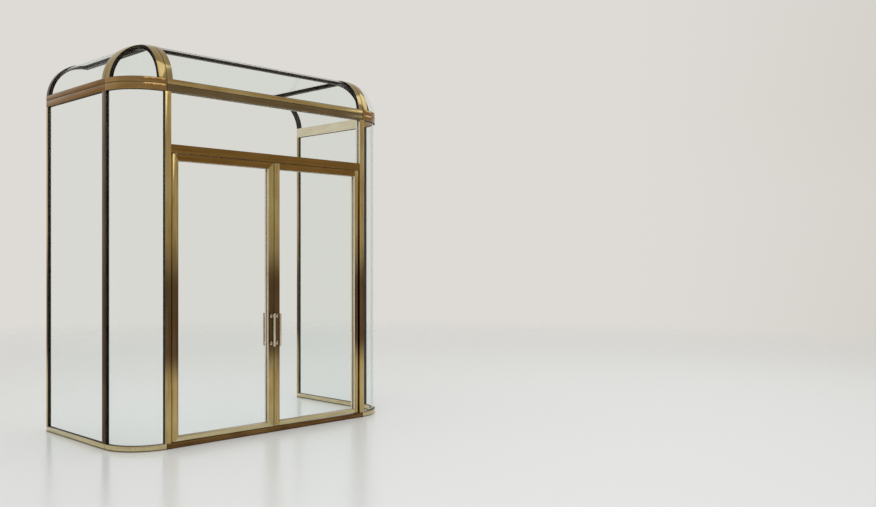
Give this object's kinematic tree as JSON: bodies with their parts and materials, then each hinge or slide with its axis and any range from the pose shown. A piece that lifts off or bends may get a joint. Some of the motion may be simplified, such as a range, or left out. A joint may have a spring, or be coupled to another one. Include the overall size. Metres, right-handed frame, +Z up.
{
  "type": "glass entrance vestibule",
  "caption": "Brass-framed glass draught lobby against a wall, with round front corners, a coved glass roof and a pair of pivoted glass doors.",
  "frame": {"origin": "floor level, under the middle of the width and of the depth with the door pulls", "axes": "+X along the front to the right seen from the room, +Y from the front to the wall, +Z up"},
  "size_m": [2.836, 1.56, 3.36],
  "materials": {
    "brushed_brass": "brushed, vertical grain",
    "dark_bronze": "dark patinated bronze, satin",
    "polished_brass": "polished",
    "steel": "turned",
    "clear_glass": "clear toughened"
  },
  "bodies": {
    "frame": {"left_sill": "brushed_brass", "left_corner_sill": "brushed_brass", "front_sill": "brushed_brass", "right_corner_sill": "brushed_brass", "right_sill": "brushed_brass", "left_wall_post": "brushed_brass", "left_corner_post": "brushed_brass", "left_jamb_post": "brushed_brass", "right_jamb_post": "brushed_brass", "right_corner_post": "brushed_brass", "right_wall_post": "brushed_brass", "transom_bar": "brushed_brass", "left_head_rail": "brushed_brass", "left_corner_head_rail": "brushed_brass", "front_head_rail": "brushed_brass", "right_corner_head_rail": "brushed_brass", "right_head_rail": "brushed_brass", "roof_curb": "brushed_brass", "left_side_glass": "clear_glass", "left_corner_glass": "clear_glass", "transom_glass": "clear_glass", "right_corner_glass": "clear_glass", "right_side_glass": "clear_glass", "left_rear_rib": "brushed_brass", "left_side_rib": "brushed_brass", "left_front_rib": "brushed_brass", "right_front_rib": "brushed_brass", "right_side_rib": "brushed_brass", "right_rear_rib": "brushed_brass", "left_ridge_rail": "dark_bronze", "front_ridge_rail": "dark_bronze", "right_ridge_rail": "dark_bronze", "left_cove_glass": "clear_glass", "front_cove_glass": "clear_glass", "right_cove_glass": "clear_glass", "left_dome_glass": "clear_glass", "right_dome_glass": "clear_glass", "flat_roof_glass": "clear_glass", "pivot_pins": "steel"},
    "left_door": {"left_door_frame": "brushed_brass", "left_door_glass": "clear_glass", "left_door_pulls": "polished_brass"},
    "right_door": {"right_door_frame": "brushed_brass", "right_door_glass": "clear_glass", "right_door_pulls": "polished_brass"}
  },
  "joints": [
    {"name": "left_door_swing", "type": "hinge", "parent": "frame", "child": "left_door", "pos_m": [-0.985, -0.688, 0.053], "axis": [0, 0, 1], "range_deg": [-90, 90]},
    {"name": "right_door_swing", "type": "hinge", "parent": "frame", "child": "right_door", "pos_m": [0.985, -0.688, 0.053], "axis": [0, 0, -1], "range_deg": [-90, 90]}
  ]
}
